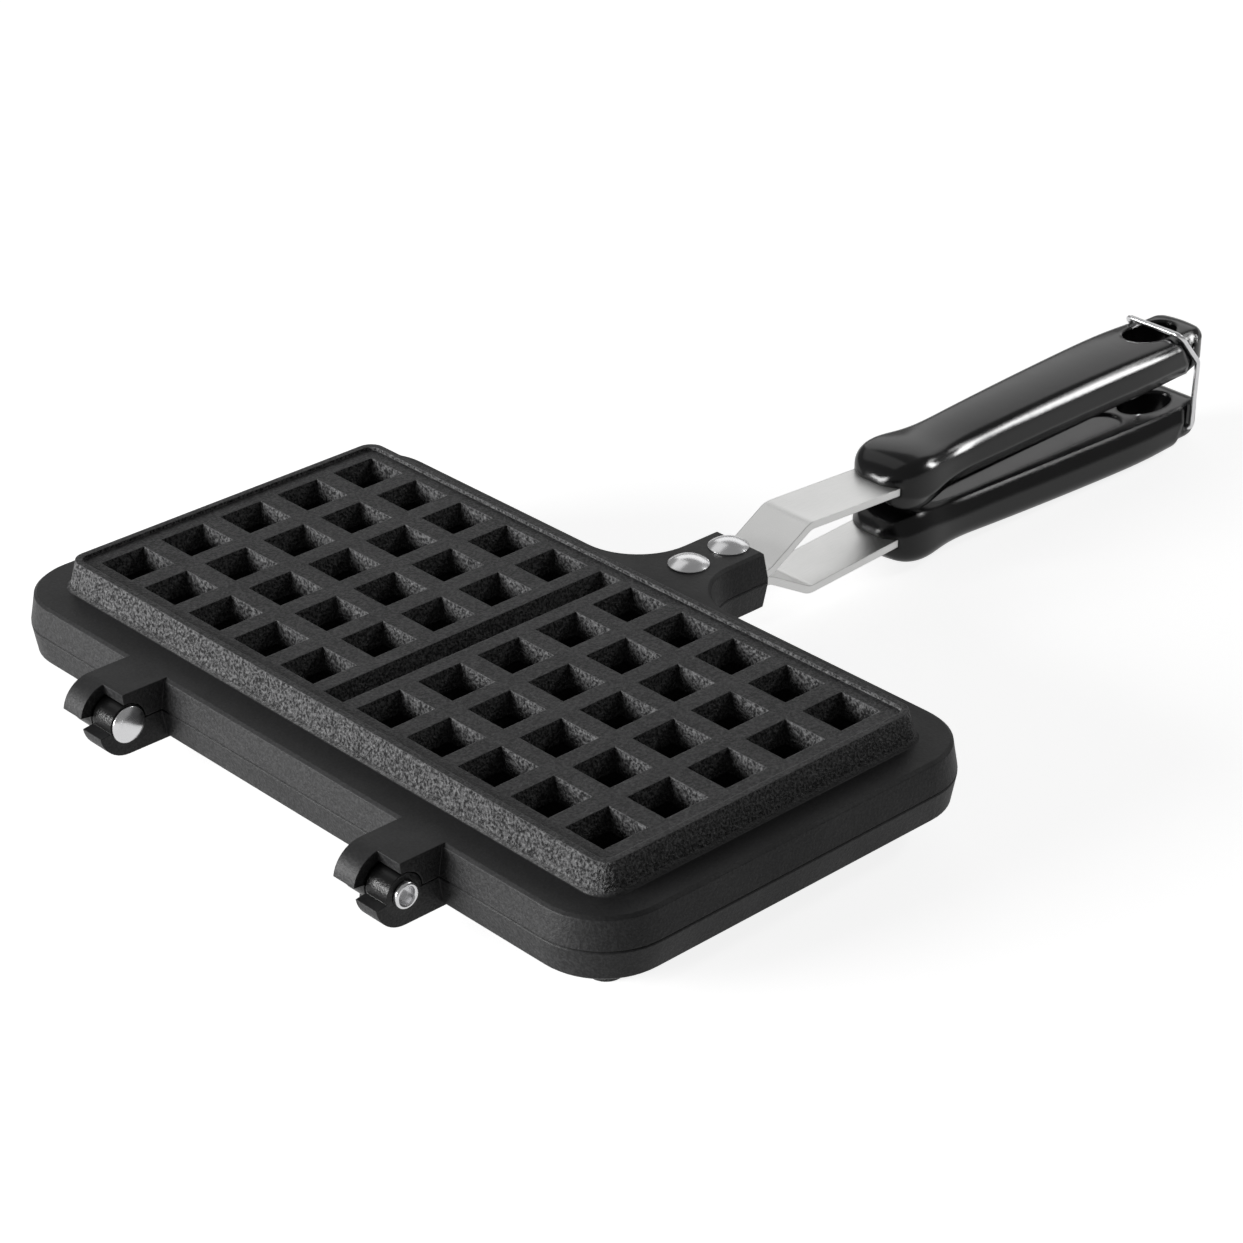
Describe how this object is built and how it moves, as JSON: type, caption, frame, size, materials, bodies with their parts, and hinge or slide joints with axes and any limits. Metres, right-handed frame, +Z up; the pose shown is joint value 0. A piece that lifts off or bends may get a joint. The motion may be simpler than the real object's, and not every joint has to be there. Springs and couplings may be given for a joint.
{
  "type": "stovetop waffle mold",
  "caption": "Hinged cast waffle mold for a stovetop, with strap handles, black grips and a wire bail that holds it closed.",
  "frame": {"origin": "centre of the cast plates at the flat rim of the lower half, which lies on the burner grate", "axes": "+X across the two waffles, +Y from the hinges to the grips, +Z up out of the upper half"},
  "size_m": [0.2394, 0.3823, 0.04],
  "materials": {
    "coated_casting": "satin",
    "strap_steel": "satin",
    "fastener_steel": "polished",
    "grip_resin": "gloss"
  },
  "bodies": {
    "lower": {"lower_plate": "coated_casting", "lower_strap": "strap_steel", "lower_grip": "grip_resin", "lower_grip_screw": "fastener_steel", "lower_neck_rivets": "fastener_steel", "left_hinge_pin": "fastener_steel", "right_hinge_pin": "fastener_steel"},
    "lid": {"upper_plate": "coated_casting", "upper_strap": "strap_steel", "upper_grip": "grip_resin", "upper_grip_screw": "fastener_steel", "upper_neck_rivets": "fastener_steel"},
    "bail": {"bail": "fastener_steel"}
  },
  "joints": [
    {"name": "lid_hinge", "type": "hinge", "parent": "lower", "child": "lid", "pos_m": [0, -0.0786, 0.0168], "axis": [1, 0, 0], "range_deg": [0, 91]},
    {"name": "bail_swing", "type": "hinge", "parent": "lower", "child": "bail", "pos_m": [0, 0.2853, 0.003], "axis": [-1, 0, 0], "range_deg": [0, 170]}
  ]
}
